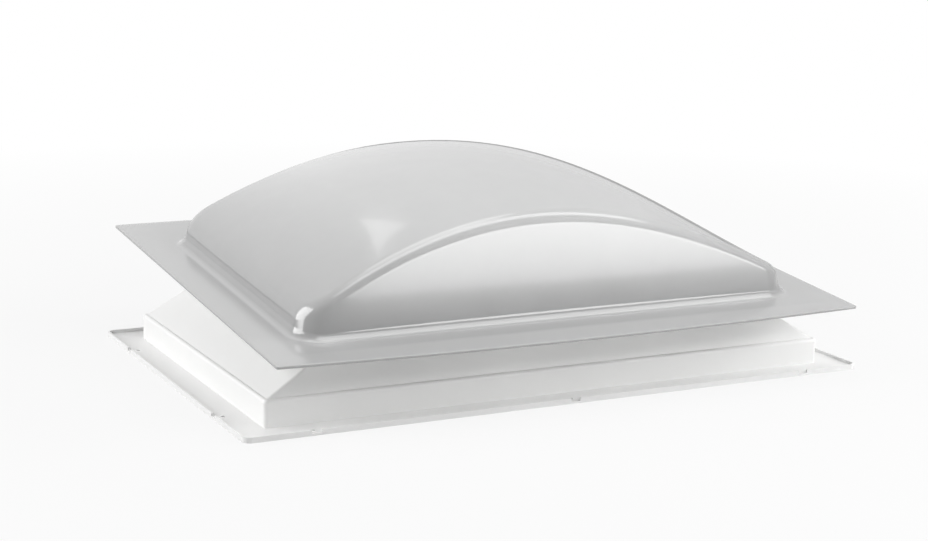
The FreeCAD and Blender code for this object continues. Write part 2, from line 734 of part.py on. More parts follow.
def keeper():
    """The right-hand keeper on the inside of the collar: the catch's tongue turns in under its lip."""
    x = catch_spacing / 2
    face = opening_half_width
    lip_top = keeper_lip_under + keeper_thickness
    plate = box((x - keeper_width / 2, face - keeper_thickness, lip_top - keeper_height),
                (x + keeper_width / 2, face, lip_top))
    lip = box((x - keeper_width / 2, face - keeper_reach, keeper_lip_under),
              (x + keeper_width / 2, face, lip_top))
    body = fuse(plate, lip)
    for seat in keeper_screw_seats():
        body = body.cut(screw_hole(seat, (0, 1, 0), screw_wall_length))
    return body


def screen_half_sizes():
    """Outer half sizes of the flyscreen's frame, clear of the collar all round."""
    return opening_half_length - screen_clearance, opening_half_width - screen_clearance


def flyscreen_frame():
    """The flyscreen's slim frame, grooved for the net."""
    half_x, half_y = screen_half_sizes()
    top = screen_height + screen_bar_thickness
    body = slab(half_x, half_y, screen_corner_radius, screen_height, top)
    body = body.cut(slab(half_x - screen_bar_width, half_y - screen_bar_width, screen_corner_radius,
                         screen_height - 1, top + 1))
    middle = screen_height + screen_bar_thickness / 2
    groove = slab(half_x - screen_bar_width / 2, half_y - screen_bar_width / 2, screen_corner_radius,
                  middle - screen_net_thickness / 2, middle + screen_net_thickness / 2)
    return body.cut(groove)


def flyscreen_net():
    """The flyscreen's net: one thin sheet with square gaps, held in the frame's groove."""
    half_x, half_y = screen_half_sizes()
    outer_x = half_x - screen_bar_width / 2
    outer_y = half_y - screen_bar_width / 2
    gap_x = 2 * (half_x - screen_bar_width) / screen_net_columns
    gap_y = 2 * (half_y - screen_bar_width) / screen_net_rows
    low = screen_height + screen_bar_thickness / 2 - screen_net_thickness / 2
    outline = rounded_rectangle(outer_x, outer_y, screen_corner_radius, low)
    gaps = []
    for column in range(screen_net_columns):
        for row in range(screen_net_rows):
            left = -half_x + screen_bar_width + column * gap_x + screen_thread / 2
            front = -half_y + screen_bar_width + row * gap_y + screen_thread / 2
            right = left + gap_x - screen_thread
            back = front + gap_y - screen_thread
            gaps.append(Part.makePolygon([V(left, front, low), V(left, back, low), V(right, back, low),
                                          V(right, front, low), V(left, front, low)]))
    return Part.Face([outline] + gaps).extrude(V(0, 0, screen_net_thickness))


def flyscreen_clips():
    """Four spring clips that hold the flyscreen up: a leg on the collar and a hook under the frame."""
    clips = []
    for x, side in clip_places():
        wall = side * opening_half_width
        foot = collar_foot_height
        under = screen_height - clip_thickness
        leg = box((x - clip_length / 2, wall + side * moulding_wall, foot),
                  (x + clip_length / 2, wall + side * (moulding_wall + clip_thickness), foot + clip_height))
        outer_face = wall + side * (moulding_wall + clip_thickness)
        floor = box((x - clip_length / 2, outer_face, foot - clip_thickness),
                    (x + clip_length / 2, wall - side * clip_thickness, foot))
        step = box((x - clip_length / 2, wall, foot - clip_thickness),
                   (x + clip_length / 2, wall - side * clip_thickness, under))
        hook = box((x - clip_length / 2, wall, under), (x + clip_length / 2, wall - side * clip_reach,
                                                        screen_height))
        clips.append(fuse(leg, floor, step, hook))
    return Part.makeCompound(clips)


def screws_of(seats, inwards, length):
    """Right-hand and left-hand screws for a list of seats."""
    pieces = []
    for seat in seats:
        one = screw(seat, inwards, length)
        pieces.extend([one, mirrored(one)])
    return Part.makeCompound(pieces)


os.makedirs("parts", exist_ok=True)
pieces = {
    "roof_frame": roof_frame(),
    "kerb_seal": kerb_seal(),
    "lid_dome": lid_dome(),
    "lid_frame": lid_frame(),
    "flyscreen_frame": flyscreen_frame(),
    "flyscreen_net": flyscreen_net(),
    "flyscreen_clips": flyscreen_clips(),
    "hinge_base_screws": screws_of(hinge_base_screw_seats(), (0, 0, -1), screw_wall_length),
    "stay_bracket_screws": screws_of(bracket_screw_seats(), (1, 0, 0), screw_wall_length),
    "keeper_screws": screws_of(keeper_screw_seats(), (0, 1, 0), screw_wall_length),
}
for fitting, (seats, length) in lid_screws().items():
    pieces[fitting + "_screws"] = turned_with_lid(screws_of(seats, (0, 0, 1), length))
for name, make in (("hinge_base", hinge_base), ("hinge_pin", hinge_pin), ("hinge_leaf", hinge_leaf),
                   ("stay_bracket", stay_bracket), ("stay_pivot", stay_pivot), ("stay_arm", stay_arm),
                   ("stay_stud", stay_stud), ("stay_spacer", stay_spacer), ("stay_knob", stay_knob),
                   ("slide_rail", slide_rail), ("catch_base", catch_base), ("catch_pin", catch_pin),
                   ("catch_lever", catch_lever), ("keeper", keeper)):
    right = make()
    pieces[name + "_right"] = right
    pieces[name + "_left"] = mirrored(right)

for name, shape in sorted(pieces.items()):
    shape.exportStep("parts/" + name + ".step")
    bounds = shape.BoundBox
    print(f"{name:22s} solids {len(shape.Solids)} valid {shape.isValid()} volume {shape.Volume:10.0f} "
          f"x {bounds.XMin:7.1f} {bounds.XMax:7.1f} y {bounds.YMin:7.1f} {bounds.YMax:7.1f} "
          f"z {bounds.ZMin:6.1f} {bounds.ZMax:6.1f}")
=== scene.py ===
# %% [markdown]
# # Caravan rooflight
# A white moulded frame is screwed to a caravan's roof, and a lid of milky acrylic is hinged along its
# front edge. In this pose the lid stands a few degrees open, so its back edge is a little higher.
# The working parts come from the CAD model. The script loads them, models again the pieces whose look
# needs more than the CAD gives, and finishes every surface with a material of its own.

# %% Load the CAD model
import bmesh
import bpy
import json
import math
from mathutils import Matrix, Vector


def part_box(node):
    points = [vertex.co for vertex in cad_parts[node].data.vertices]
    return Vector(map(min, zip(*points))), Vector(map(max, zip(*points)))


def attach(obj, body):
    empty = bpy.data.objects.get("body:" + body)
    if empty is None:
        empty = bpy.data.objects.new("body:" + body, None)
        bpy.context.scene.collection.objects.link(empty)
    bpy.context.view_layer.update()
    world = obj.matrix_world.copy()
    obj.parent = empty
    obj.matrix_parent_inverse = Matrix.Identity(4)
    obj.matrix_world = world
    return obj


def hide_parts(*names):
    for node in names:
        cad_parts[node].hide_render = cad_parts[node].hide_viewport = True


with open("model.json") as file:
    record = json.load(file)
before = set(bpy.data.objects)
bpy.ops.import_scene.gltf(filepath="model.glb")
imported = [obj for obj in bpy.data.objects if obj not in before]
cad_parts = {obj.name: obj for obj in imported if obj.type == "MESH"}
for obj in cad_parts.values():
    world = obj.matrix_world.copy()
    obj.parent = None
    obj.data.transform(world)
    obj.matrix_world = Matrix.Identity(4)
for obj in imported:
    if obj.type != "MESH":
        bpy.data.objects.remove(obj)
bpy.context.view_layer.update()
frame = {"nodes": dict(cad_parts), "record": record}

# %% [markdown]
# ## Writing node sums as arithmetic
# A material or a Geometry Nodes tree is full of small sums. Built by hand, each one is a Math node and two
# links. Here a class wraps one output of a node and lets Python's operators add the Math nodes, so a formula
# in the script reads like a formula.

# %% A class for sums
class Wire:
    """One output of a node. Arithmetic on it adds Math nodes to its tree."""

    def __init__(self, graph, socket):
        self.graph = graph
        self.socket = socket

    def sum(self, operation, *values):
        return self.graph.make("ShaderNodeMath", {"operation": operation}, dict(enumerate((self, *values))))

    def __add__(self, other):
        return self.sum("ADD", other)

    def __radd__(self, other):
        return self.sum("ADD", other)

    def __sub__(self, other):
        return self.sum("SUBTRACT", other)

    def __rsub__(self, other):
        return self.graph.make("ShaderNodeMath", {"operation": "SUBTRACT"}, {0: other, 1: self})

    def __mul__(self, other):
        return self.sum("MULTIPLY", other)

    def __rmul__(self, other):
        return self.sum("MULTIPLY", other)

    def __truediv__(self, other):
        return self.sum("DIVIDE", other)

    def root(self):
        return self.sum("SQRT")

    def at_least(self, low):
        return self.sum("MAXIMUM", low)

    def at_most(self, high):
        return self.sum("MINIMUM", high)

    def clamped(self):
        return self.at_least(0.0).at_most(1.0)

    def cosine(self):
        return self.sum("COSINE")

    def sine(self):
        return self.sum("SINE")


print("sums on a node's output: + - * / and root, limits, cosine and sine")

# %% [markdown]
# ## Making any other node
# Every other node comes from one method. It takes the node's type, then its settings, which decide what
# sockets there are, and then what its sockets get: a number, a colour, or another node's output as a link.

# %% A class for node trees
class Graph:
    """A node tree that nodes are added to with one method."""

    def __init__(self, tree):
        self.tree = tree

    def make(self, kind, settings=None, sockets=None, out=0):
        """Adds a node, sets it up, links or fills its sockets and hands back one of its outputs."""
        node = self.tree.nodes.new(kind)
        for name, value in (settings or {}).items():
            setattr(node, name, value)
        for name, value in (sockets or {}).items():
            if isinstance(value, Wire):
                self.tree.links.new(value.socket, node.inputs[name])
            else:
                node.inputs[name].default_value = value
        return Wire(self, node.outputs[out])


print("one method makes every node of a tree")

# %% [markdown]
# ## A tree with named inputs
# Geometry Nodes keep the sizes of a piece as named inputs on its modifier. The modifier finds an input by
# the identifier of its socket, not by its name, so the helper below looks both up in the tree. When the tree
# has run, its result is turned into a plain mesh and the modifier goes.

# %% Helpers for Geometry Nodes pieces
def new_tree(name, sizes):
    """An empty geometry tree with one number input for each named size."""
    tree = bpy.data.node_groups.new(name, "GeometryNodeTree")
    tree.interface.new_socket("Geometry", in_out="OUTPUT", socket_type="NodeSocketGeometry")
    for label, value in sizes.items():
        whole = isinstance(value, int)
        kind = "NodeSocketInt" if whole else "NodeSocketFloat"
        tree.interface.new_socket(label, in_out="INPUT", socket_type=kind).default_value = value
    graph = Graph(tree)
    entry = tree.nodes.new("NodeGroupInput")
    return graph, {label: Wire(graph, entry.outputs[label]) for label in sizes}


def close_tree(graph, geometry, material):
    """Ends a tree: instances made real, material set, result handed out."""
    real = graph.make("GeometryNodeRealizeInstances", {}, {"Geometry": geometry})
    painted = graph.make("GeometryNodeSetMaterial", {}, {"Geometry": real, "Material": material})
    leave = graph.tree.nodes.new("NodeGroupOutput")
    graph.tree.links.new(painted.socket, leave.inputs[0])


def run_tree(graph, name, sizes):
    """A plain mesh object from a tree, run with each named size in its own input."""
    carrier = bpy.data.objects.new(name + "_carrier", bpy.data.meshes.new(name + "_empty"))
    bpy.context.scene.collection.objects.link(carrier)
    modifier = carrier.modifiers.new("tree", "NODES")
    modifier.node_group = graph.tree
    for item in graph.tree.interface.items_tree:
        if item.in_out == "INPUT":
            modifier[item.identifier] = sizes[item.name]
    evaluated = carrier.evaluated_get(bpy.context.evaluated_depsgraph_get())
    mesh = bpy.data.meshes.new_from_object(evaluated)
    mesh.name = name
    bpy.data.objects.remove(carrier)
    piece = bpy.data.objects.new(name, mesh)
    bpy.context.scene.collection.objects.link(piece)
    return piece


def report(piece):
    """Prints what a piece came out as."""
    corners = [piece.matrix_world @ Vector(c) for c in piece.bound_box]
    low = [round(min(c[i] for c in corners), 4) for i in range(3)]
    high = [round(max(c[i] for c in corners), 4) for i in range(3)]
    faces = sum(len(p.vertices) - 2 for p in piece.data.polygons)
    print(piece.name, "triangles", faces, "from", low, "to", high)


print("tree helpers: new, close, run and report")

# %% [markdown]
# ## What all materials share
# A material is a node tree too. Every pattern here reads the position on the object in metres, so it stays
# where it is when the object moves, and its scale can be given in lumps per metre. Noise makes what varies,
# a Mix node goes from one colour to another by it, and a Bump node makes fine relief of it.

# %% Helpers for materials
def new_material(name):
    """A material with its tree cleared."""
    material = bpy.data.materials.new(name)
    material.use_nodes = True
    material.node_tree.nodes.clear()
    return material, Graph(material.node_tree)


def object_place(graph):
    """The position on the object in metres."""
    return graph.make("ShaderNodeTexCoord", out="Object")


def show(graph, surface):
    """Ends a material's tree."""
    leave = graph.tree.nodes.new("ShaderNodeOutputMaterial")
    graph.tree.links.new(surface.socket, leave.inputs["Surface"])


def noise(graph, place, scale, detail=3.0, rough=0.5):
    """Fractal noise from 0 to 1, with its scale in lumps per metre."""
    return graph.make("ShaderNodeTexNoise", {}, {"Vector": place, "Scale": scale, "Detail": detail,
                                                 "Roughness": rough})


def tint(graph, amount, first, second):
    """A colour between two, by an amount from 0 to 1. Each is three numbers or a node's output."""
    first, second = [colour if isinstance(colour, Wire) else (*colour, 1.0) for colour in (first, second)]
    return graph.make("ShaderNodeMix", {"data_type": "RGBA"}, {0: amount, 6: first, 7: second}, out=2)


def bump(graph, height, depth, strength=1.0, under=None):
    """A surface's fine relief: height from 0 to 1 over a depth in metres."""
    sockets = {"Height": height, "Distance": depth, "Strength": strength}
    if under is not None:
        sockets["Normal"] = under
    return graph.make("ShaderNodeBump", {}, sockets)


print("material helpers: noise, tint and bump")

# %% [markdown]
# ## White moulded ABS
# The roof frame is a thick moulding with a fine leather-like grain that is almost flat, so it looks matt
# from near and satin from a step away. Noise at two sizes does it: a fine one for the grain in the bump,
# and a broad one that changes the roughness and the whiteness by a hair, as handling and weather do.

# %% The moulding's material
patches_per_metre, grains_per_metre = 9.0, 900.0
grain_depth, grain_strength = 0.00006, 0.5
roughness_change = 0.10


def moulded_white(name, colour, shade, roughness):
    """White plastic: broad patches of a second shade, and a fine grain."""
    material, graph = new_material(name)
    place = object_place(graph)
    broad = noise(graph, place, patches_per_metre)
    grain = noise(graph, place, grains_per_metre, 2.0)
    surface = graph.make("ShaderNodeBsdfPrincipled", {}, {
        "Base Color": tint(graph, broad, colour, shade),
        "Roughness": roughness + broad * roughness_change,
        "Normal": bump(graph, grain, grain_depth, grain_strength),
        "IOR": 1.5})
    show(graph, surface)
    return material


white_moulding = moulded_white("white_moulding", (0.845, 0.845, 0.84), (0.80, 0.80, 0.795), 0.36)
white_frame = moulded_white("white_frame", (0.80, 0.80, 0.79), (0.76, 0.76, 0.75), 0.30)
print("white mouldings: grain", round(1000 / grains_per_metre, 1), "mm, patches",
      round(1000 / patches_per_metre), "mm")


# %% [markdown]
# ## Milky acrylic
# The lid is one sheet of opal acrylic, drawn into a mould while soft. It is glossy outside, light grey in the
# body, and never quite flat: the heated sheet keeps slow waves that bend its reflections. A Principled
# shader does it, with a clear coat over a pale body, and a bump of two slow noises for the waves. Haze
# from dust and washing is a third noise that moves the roughness, and the colour by a little. Where the
# sheet is drawn up it is thinner and lets more light through. That light is painted into the colour as a glow
# that gets paler with its height over the rim, and the walls' feet are painted darker as shade. The flat rim
# is painted a grey of its own, as shade for the light that passes through it and is lost. The lid rests a
# little open, so its slope from the hinge line backwards is taken off that height.

# %% The lid's material
rest_angle = math.radians(4.68)
rest_slope = 0.0817
hinge_y, hinge_z = -0.221, 0.0785
rim_level, rim_fade = 0.0135, 0.003
glow_start, glow_length = 0.02, 0.10
# Painted light: the drawn-up grey is a painted glow, the foot grey is painted shade, the rim grey is painted
# shade on the rim.
painted_shade_grey, painted_glow_grey, painted_rim_grey = (0.275, 0.276, 0.276), (0.455, 0.456, 0.456), (0.375, 0.376, 0.376)
waves_per_metre, ripples_per_metre, haze_per_metre = 7.0, 60.0, 24.0
wave_depth, ripple_depth, relief_strength = 0.0016, 0.00005, 0.35
clean_roughness, haze_in_roughness, haze_in_colour = 0.14, 0.05, 0.15


def opal_acrylic_material():
    """Milky acrylic: a painted glow where it is drawn up, painted shade at the walls' feet, glossy, with slow
    waves.
    """
    material, graph = new_material("opal_acrylic")
    place = object_place(graph)
    waves = noise(graph, place, waves_per_metre, 1.0)
    ripples = noise(graph, place, ripples_per_metre, 2.0)
    haze = noise(graph, place, haze_per_metre, 4.0, 0.6)
    rippled = bump(graph, ripples, ripple_depth, relief_strength)
    relief = bump(graph, waves, wave_depth, relief_strength, rippled)
    parts = graph.make("ShaderNodeSeparateXYZ", {}, {0: place}).socket.node
    back_of_hinge = Wire(graph, parts.outputs["Y"]) - hinge_y
    rise = (Wire(graph, parts.outputs["Z"]) - hinge_z) - back_of_hinge * rest_slope
    # Painted light: the colour gets paler with height as a painted glow of light through the sheet, and
    # darker at the walls' feet as painted shade.
    drawn = ((rise - glow_start) / glow_length).clamped()
    glow_amount = (drawn * (1.0 - haze_in_colour) + haze * haze_in_colour).clamped()
    dome = tint(graph, glow_amount, painted_shade_grey, painted_glow_grey)
    # Painted shade: the flat rim gets a grey of its own, darker than the crown, for the light lost through
    # it.
    rim = 1.0 - ((rise - rim_level) / rim_fade).clamped()
    surface = graph.make("ShaderNodeBsdfPrincipled", {}, {
        "Base Color": tint(graph, rim, dome, painted_rim_grey),
        "Roughness": clean_roughness + haze * haze_in_roughness,
        "Normal": relief,
        "IOR": 1.6,
        "Coat Weight": 0.6,
        "Coat Roughness": 0.06,
        "Coat IOR": 1.5})
    show(graph, surface)
    return material


opal_acrylic = opal_acrylic_material()
print("opal acrylic: slow waves", round(1000 / waves_per_metre), "mm long, ripples",
      round(1000 / ripples_per_metre), "mm")

# %% [markdown]
# ## The lid: one formed sheet
# The real lid starts as a flat acrylic sheet. Its middle is blown and pressed into a low vault on four
# leaning sides, and a flat rim is left all round. So the shape follows a rule: at each place round the rim,
# a section runs from the crown over the ridge, down the wall, through the cove and out over the rim.
# Geometry Nodes can do that on a plain grid, whose rows become rings round the dome and whose
# columns become places round it. The sizes below are its inputs. The ridge reach is how far the rounding
# goes on either side of the ridge, and the cove reach is the same at the foot. The cove's fullness is 1 for
# a true arc and less for a flatter slope. The front edge of the rim droops by a few millimetres in its
# middle, past the frame that carries the sheet, as it does on the real lid.

# %% Sizes of the lid in metres, drawn with the lid shut
lid_sizes = {
    "Sheet length": 0.7475,
    "Sheet width": 0.566,
    "Sheet centre": 0.0112,
    "Sheet corner radius": 0.003,
    "Sheet top": 0.0910,
    "Sheet underside": 0.0880,
    "Dome length": 0.642,
    "Dome half width": 0.210,
    "Dome centre": 0.0,
    "Crown height": 0.148,
    "Side height": 0.113,
    "End height": 0.026,
    "Corner height": 0.029,
    "Crown shift": 0.053,
    "End lean": 0.19,
    "Side lean": 0.202,
    "Corner radius": 0.032,
    "Side ridge reach": 0.0115,
    "End ridge reach": 0.0125,
    "Ridge inset share": 0.94,
    "Side cove reach": 0.006966,
    "End cove reach": 0.0097524,
    "Side cove fullness": 0.22,
    "End cove fullness": 1.0,
    "Carried rim": 0.0342,
    "Droop run": 0.0272,
    "Front droop": 0.0045,
    "Rest angle": rest_angle,
    "Hinge y": hinge_y,
    "Hinge z": hinge_z,
    "Crown rings": 40,
    "Bend rings": 8,
    "Wall rings": 36,
    "Flange rings": 16,
    "Steps per side": 26,
}
print("lid tree:", len(lid_sizes), "inputs, for a sheet of", lid_sizes["Sheet length"], "by",
      lid_sizes["Sheet width"], "m")

# %% [markdown]
# ### Walking round a rounded rectangle
# The dome's plan is a rectangle with round corners, and so is the sheet's. One number from 0 to 8 says how
# far a walk round it has come: over each even step the walk turns through a corner, and over each odd step
# it follows a side. Cosine and sine of the turn give the way outwards, and two more numbers from -1 to 1
# give the place between the corners. That holds for every ring, so no corner has to be built by hand.

# %% The walk
def corner_walk(side):
    """The way outwards, and the place along each pair of sides, for a walk from 0 to 8."""
    def part(first):
        return (side - first).clamped()

    turn = (part(0.0) + part(2.0) + part(4.0) + part(6.0)) * (math.pi / 2)
    along_x = 1.0 - 2.0 * part(1.0) + 2.0 * part(5.0)
    along_y = 1.0 - 2.0 * part(3.0) + 2.0 * part(7.0)
    return turn.cosine(), turn.sine(), along_x, along_y


print("a walk round has 8 steps of", lid_sizes["Steps per side"], "columns")

# %% [markdown]
# ### Rounding a bend
# A heated sheet never folds sharply, so the ridge and the foot are round. A quadratic curve with a weight on
# its middle point can be an exact circular arc, where a plain one can't. With less weight it gets flatter in
# the middle. The long sides' foot is such a flat slope, and a lamp shows in it as a bright strip.

# %% The bend
def bend(start, middle, end, step, fullness=1.0):
    """A true arc between two straight runs that meet at the middle point, or a flatter one."""
    first = [m - s for s, m in zip(start, middle)]
    second = [e - m for m, e in zip(middle, end)]
    dot = first[0] * second[0] + first[1] * second[1] + first[2] * second[2]
    long_one = first[0] * first[0] + first[1] * first[1] + first[2] * first[2]
    long_two = second[0] * second[0] + second[1] * second[1] + second[2] * second[2]
    weight = (0.5 + 0.5 * (dot / (long_one * long_two).root())).root() * fullness
    back = 1.0 - step
    share_start = back * back
    share_middle = 2.0 * step * back * weight
    share_end = step * step
    total = share_start + share_middle + share_end
    return [(s * share_start + m * share_middle + e * share_end) / total
            for s, m, e in zip(start, middle, end)]


print("each bend has", lid_sizes["Bend rings"], "rings")

# %% [markdown]
# ### Crown, walls and ridge
# The crown is a low vault, highest at a point that is shifted along the lid. Its height is given in the
# middle, at the ends, at the sides and at the corners, and a product of squares joins these four smoothly.
# The walls are flat and lean in with height, so a place on them follows from the walk and the height alone.
# The ridge, where a wall meets the crown, has no simple formula. A few guesses find it: each takes the
# crown's height over the last place on the wall, and goes to that height on the wall.

# %% Crown, walls and ridge
ridge_guesses = 5


def crown_level(size, x, y):
    """The crown's height over the sheet's underside, at a place in plan."""
    along = x / (size["Dome length"] * 0.5)
    u = along + size["Crown shift"] * (1.0 - along * along)
    v = (y - size["Dome centre"]) / size["Dome half width"]
    uu, vv = u * u, v * v
    top, end, side = size["Crown height"], size["End height"], size["Side height"]
    twist = (top - end - side + size["Corner height"]) * uu * vv
    return top - (top - end) * uu - (top - side) * vv + twist


def wall_place(size, walk, level):
    """The place on the leaning walls at a height, for a walk round."""
    turn_x, turn_y, side_x, side_y = walk
    radius = size["Corner radius"]
    reach_x = size["Dome length"] * 0.5 - size["End lean"] * level - radius
    reach_y = size["Dome half width"] - size["Side lean"] * level - radius
    x = side_x * reach_x + turn_x * radius
    y = size["Dome centre"] + side_y * reach_y + turn_y * radius
    return [x, y, level]


def ridge_place(size, walk):
    """The place where the wall meets the crown."""
    ridge = wall_place(size, walk, size["End height"])
    for _ in range(ridge_guesses):
        ridge = wall_place(size, walk, crown_level(size, ridge[0], ridge[1]))
    return ridge


print("crown", lid_sizes["Crown height"], "m high, ridge found in", ridge_guesses, "guesses")

# %% [markdown]
# ### Where the runs of a section meet
# Five runs follow each other from the middle outwards: the crown, the ridge's bend, the wall, the cove and
# the flat rim. On the short ends the cove is wider and a true arc. On the long sides it is narrower and
# flatter, and the corners go from one to the other.

# %% Places between the runs
def section_places(size, walk):
    """The places along a section, from inside to edge, and the cove's fullness there."""
    turn_x, turn_y, side_x, side_y = walk
    endness = turn_x * turn_x

    def side_to_end(name):
        return size["Side " + name] + (size["End " + name] - size["Side " + name]) * endness

    ridge = ridge_place(size, walk)
    bend_reach = side_to_end("ridge reach")
    below = wall_place(size, walk, ridge[2] - bend_reach)
    inward = bend_reach * size["Ridge inset share"]
    inside_x = ridge[0] - turn_x * inward
    inside_y = ridge[1] - turn_y * inward
    inside = [inside_x, inside_y, crown_level(size, inside_x, inside_y)]

    flat = size["Sheet top"] - size["Sheet underside"]
    foot = wall_place(size, walk, flat)
    cove_reach = side_to_end("cove reach")
    above = wall_place(size, walk, flat + cove_reach)
    outside = [foot[0] + turn_x * cove_reach, foot[1] + turn_y * cove_reach, flat]
    edge_radius = size["Sheet corner radius"]
    edge_x = side_x * (size["Sheet length"] * 0.5 - edge_radius) + turn_x * edge_radius
    edge_y = size["Sheet centre"] + side_y * (size["Sheet width"] * 0.5 - edge_radius) + turn_y * edge_radius
    cove_fullness = side_to_end("cove fullness")
    return inside, ridge, below, above, foot, outside, [edge_x, edge_y, flat], cove_fullness


print("cove", lid_sizes["Side cove reach"], "m on the sides,", lid_sizes["End cove reach"], "m on the ends")

# %% [markdown]
# ### Droop and rest
# The lid's sizes are those of the shut lid. The front of the rim droops where nothing carries it, most in its
# middle and not at all at its corners. Then the whole lid is turned about its hinge line to the rest angle,
# by the usual sums with sine and cosine.

# %% Droop and rest
def droop_depth(size, x, y):
    """How far the front of the rim hangs down."""
    past_frame = y * -1.0 - size["Dome half width"] - size["Carried rim"]
    place_along = x / size["Sheet length"] * 2.0
    middle = (1.0 - place_along * place_along).clamped()
    return size["Front droop"] * (past_frame / size["Droop run"]).clamped() * middle


def turned_to_rest(size, y, z):
    """A place's Y and Z, once the shut lid is turned about its hinge line."""
    cosine, sine = size["Rest angle"].cosine(), size["Rest angle"].sine()
    arm_y, arm_z = y - size["Hinge y"], z - size["Hinge z"]
    turned_y = size["Hinge y"] + arm_y * cosine - arm_z * sine
    turned_z = size["Hinge z"] + arm_y * sine + arm_z * cosine
    return turned_y, turned_z


print("rest angle", round(math.degrees(lid_sizes["Rest angle"]), 2), "degrees")

# %% [markdown]
# ### The whole tree
# A grid is the raw sheet. Its rows are the rings, and its columns are the places round. Each ring asks how
# far into each run it is, from 0 to 1, and moves from one run to the next. The crown's innermost ring is a
# single point, and the walk ends where it began, so points that lie together are merged at last.

# %% The lid's tree
same_point = 0.00002


def blend(one, two, amount):
    """A place between two places."""
    return [a + (b - a) * amount for a, b in zip(one, two)]


def lid_tree(sizes, material):
    """The node tree of the formed sheet's top side."""
    graph, size = new_tree("formed_lid", sizes)
    crown_end = size["Crown rings"]
    ridge_end = crown_end + size["Bend rings"]
    wall_end = ridge_end + size["Wall rings"]
    cove_end = wall_end + size["Bend rings"]
    flange_end = cove_end + size["Flange rings"]
    columns = size["Steps per side"] * 8
    grid = graph.make("GeometryNodeMeshGrid", {}, {"Size X": 1.0, "Size Y": 1.0,
                                                   "Vertices X": flange_end + 1, "Vertices Y": columns + 1})
    place = graph.make("GeometryNodeInputPosition")
    parts = graph.make("ShaderNodeSeparateXYZ", {}, {"Vector": place})
    across = Wire(graph, parts.socket.node.outputs["X"])
    around = Wire(graph, parts.socket.node.outputs["Y"])
    ring = ((across + 0.5) * flange_end).sum("ROUND")
    walk = corner_walk((around + 0.5) * 8.0)
    inside, ridge, below, above, foot, outside, edge, cove_fullness = section_places(size, walk)

    def share(first, count):
        return ((ring - first) / count).clamped()

    spread = share(0, crown_end)
    crown_x = inside[0] * spread
    crown_y = size["Dome centre"] + (inside[1] - size["Dome centre"]) * spread
    shape = [crown_x, crown_y, crown_level(size, crown_x, crown_y)]
    sections = (
        (crown_end, bend(inside, ridge, below, share(crown_end, size["Bend rings"]))),
        (ridge_end, blend(below, above, share(ridge_end, size["Wall rings"]))),
        (wall_end, bend(above, foot, outside, share(wall_end, size["Bend rings"]), cove_fullness)),
        (cove_end, blend(outside, edge, share(cove_end, size["Flange rings"]))),
    )
    for first, section in sections:
        shape = blend(shape, section, (ring - first).clamped())

    x, y, height = shape
    z = size["Sheet underside"] + height - droop_depth(size, x, y)
    turned_y, turned_z = turned_to_rest(size, y, z)
    target = graph.make("ShaderNodeCombineXYZ", {}, {"X": x, "Y": turned_y, "Z": turned_z})
    formed = graph.make("GeometryNodeSetPosition", {}, {"Geometry": grid, "Position": target})
    closed = graph.make("GeometryNodeMergeByDistance", {}, {"Geometry": formed, "Distance": same_point})
    close_tree(graph, closed, material)
    return graph


lid_graph = lid_tree(lid_sizes, opal_acrylic)
lid = run_tree(lid_graph, "formed_lid", lid_sizes)
report(lid)

# %% [markdown]
# ### Thickness
# So far the lid is a skin. The real sheet is 3 mm thick, and its sawn edge is broken with a scraper. Solidify
# adds the underside, so the faces first have to look outwards, and a narrow bevel breaks the edge. Both
# modifiers are turned into mesh at once.

# %% Thickness of the lid
edge_break = 0.0004
sharp_edge, sharp_look = 60, 55
same_corner = 1e-6


def face_outwards(piece, way):
    """Turns every face of an open sheet so that the one nearest the top looks along a direction."""
    work = bmesh.new()
    work.from_mesh(piece.data)
    bmesh.ops.remove_doubles(work, verts=work.verts, dist=same_corner)
    bmesh.ops.recalc_face_normals(work, faces=work.faces)
    top = max(work.faces, key=lambda face: face.calc_center_median().z)
    if top.normal.dot(way) < 0:
        bmesh.ops.reverse_faces(work, faces=work.faces)
    work.to_mesh(piece.data)
    work.free()


def apply_modifiers(piece, steps):
    """Puts modifiers on a piece and keeps only their result."""
    for kind, settings in steps:
        extra = piece.modifiers.new(kind.lower(), kind)
        for key, value in settings.items():
            setattr(extra, key, value)
    evaluated = piece.evaluated_get(bpy.context.evaluated_depsgraph_get())
    mesh = bpy.data.meshes.new_from_object(evaluated)
    piece.modifiers.clear()
    piece.data = mesh


def smooth(piece, angle):
    """Smooth shading, with edges sharper than an angle in degrees left crisp."""
    for face in piece.data.polygons:
        face.use_smooth = True
    piece.data.set_sharp_from_angle(angle=math.radians(angle))


face_outwards(lid, Vector((0, 0, 1)))
apply_modifiers(lid, (
    ("SOLIDIFY", {"thickness": lid_sizes["Sheet top"] - lid_sizes["Sheet underside"], "offset": -1.0,
                  "use_even_offset": True}),
    ("BEVEL", {"width": edge_break, "segments": 2, "limit_method": "ANGLE",
               "angle_limit": math.radians(sharp_edge)}),
))
smooth(lid, sharp_look)
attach(lid, "lid")
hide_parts("lid_dome")
report(lid)


# %% [markdown]
# ## Metals
# The working parts are small and mostly hidden until the lid is open. Zinc plate is a bright, slightly
# blotched grey, so its roughness and colour follow broad cells. The slide rails are anodised aluminium,
# drawn along their length, so their noise is pulled out along Y.

# %% Metals
cells_per_metre, clouds_per_metre, zinc_grains_per_metre = 260.0, 90.0, 1500.0
lines_per_metre, line_pull = 2600.0, 0.012
zinc_relief, rail_relief = (0.00004, 0.3), (0.00003, 0.4)


